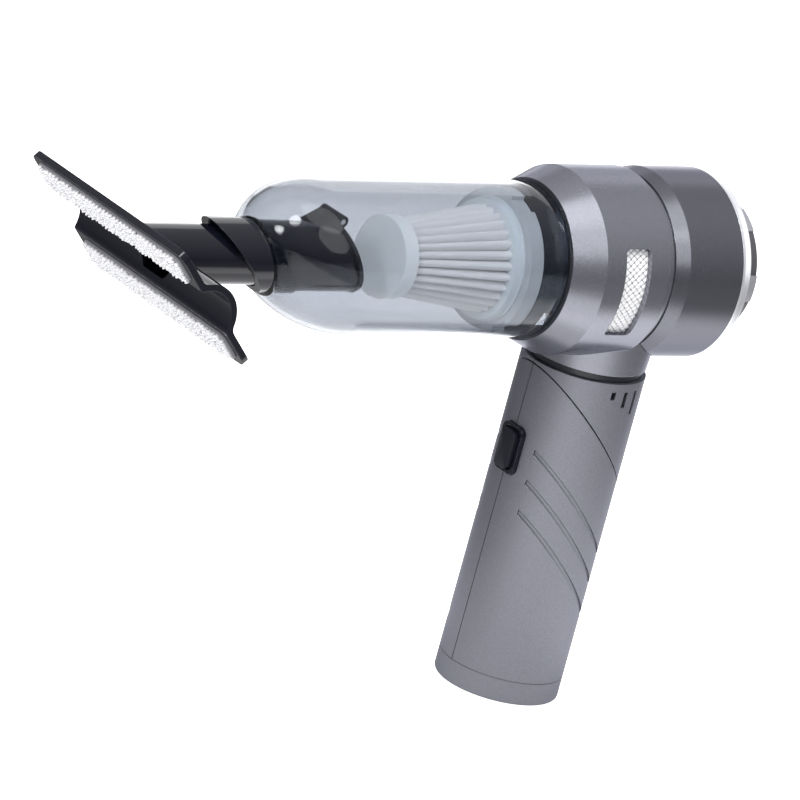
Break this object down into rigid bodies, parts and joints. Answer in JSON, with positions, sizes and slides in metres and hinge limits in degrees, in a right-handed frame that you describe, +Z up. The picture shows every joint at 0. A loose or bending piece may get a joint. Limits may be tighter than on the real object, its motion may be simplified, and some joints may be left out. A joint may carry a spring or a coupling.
{
  "type": "vacuum blower",
  "caption": "Handheld vacuum blower with a grey motor body, smoke-clear dust cup and cone filter, flat lint nozzle, round blower outlet and a handle that folds on a slanted swivel.",
  "frame": {"origin": "middle of the flat underside of the handle's bottom cap, with the handle unfolded", "axes": "+Z up along the handle, +X along the body axis towards the blower outlet, +Y to the object's right side seen from the nozzle end"},
  "size_m": [0.2575, 0.087, 0.1823],
  "materials": {
    "shell_grey": "metallic gunmetal paint with fine flake",
    "base_cast": "metallic gunmetal paint on a cast base",
    "trim_silver": "bright satin plating",
    "cap_dark": "satin dark grey",
    "mesh_silver": "bright woven look",
    "smoke_clear": "clear smoke tint",
    "black_gloss": "black gloss",
    "flap_black": "soft black",
    "filter_clear": "milky clear",
    "filter_white": "pleated white fleece",
    "seal_clear": "milky silicone",
    "lint_white": "short white pile",
    "steel": "plain",
    "motor_alloy": "satin",
    "inner_plastic": "moulded",
    "bush_brass": "turned",
    "board_green": "solder mask",
    "port_metal": "plain"
  },
  "bodies": {
    "housing": {"front_housing": "shell_grey", "rear_housing": "shell_grey", "trim_ring": "trim_silver", "outlet_cap": "cap_dark", "outlet_grille": "cap_dark", "cap_screws": "steel", "vent_mesh_left": "mesh_silver", "vent_mesh_right": "mesh_silver", "motor_mount": "inner_plastic", "motor_can": "steel", "motor_screws": "steel", "filter_cap": "filter_clear", "filter_media": "filter_white", "filter_frame": "filter_clear", "filter_gasket": "seal_clear", "neck_ring": "cap_dark", "upper_handle": "shell_grey", "pivot_hub": "inner_plastic", "pivot_washer": "steel", "pivot_clip": "steel"},
    "rotor": {"rotor_shaft": "steel", "impeller": "motor_alloy", "impeller_nut": "steel"},
    "cup": {"dust_cup": "smoke_clear", "intake_tube": "black_gloss", "flap_pin": "steel"},
    "flap": {"flap_valve": "flap_black"},
    "nozzle_tool": {"nozzle": "black_gloss", "lint_strip_upper": "lint_white", "lint_strip_lower": "lint_white"},
    "handle": {"handle_left_shell": "shell_grey", "handle_right_shell": "shell_grey", "bottom_cap": "base_cast", "pivot_bush": "bush_brass", "handle_screws": "steel", "battery_cells": "motor_alloy", "battery_carrier": "inner_plastic", "control_board": "board_green", "charge_port": "port_metal", "switch_board": "board_green", "switch_body": "inner_plastic", "button_frame": "black_gloss"},
    "button": {"power_button": "black_gloss"}
  },
  "joints": [
    {"name": "handle_fold", "type": "hinge", "parent": "housing", "child": "handle", "pos_m": [0, 0, 0.0933], "axis": [-0.7071, 0, -0.7071], "range_deg": [0, 180]},
    {"name": "power_button", "type": "slide", "parent": "handle", "child": "button", "axis": [1, 0, 0], "range_m": [0, 0.0012], "stiffness_N_per_m": 800, "springref_m": -0.0005},
    {"name": "cup_twist", "type": "hinge", "parent": "housing", "child": "cup", "pos_m": [0, 0, 0.151], "axis": [1, 0, 0], "range_deg": [0, 20]},
    {"name": "nozzle_pull", "type": "slide", "parent": "cup", "child": "nozzle_tool", "axis": [-1, 0, 0], "range_m": [0, 0.025]},
    {"name": "flap_swing", "type": "hinge", "parent": "cup", "child": "flap", "pos_m": [-0.12085, 0, 0.16505], "axis": [0, -1, 0], "range_deg": [0, 24]},
    {"name": "rotor_spin", "type": "hinge", "parent": "housing", "child": "rotor", "pos_m": [0, 0, 0.151], "axis": [1, 0, 0], "continuous": true}
  ]
}
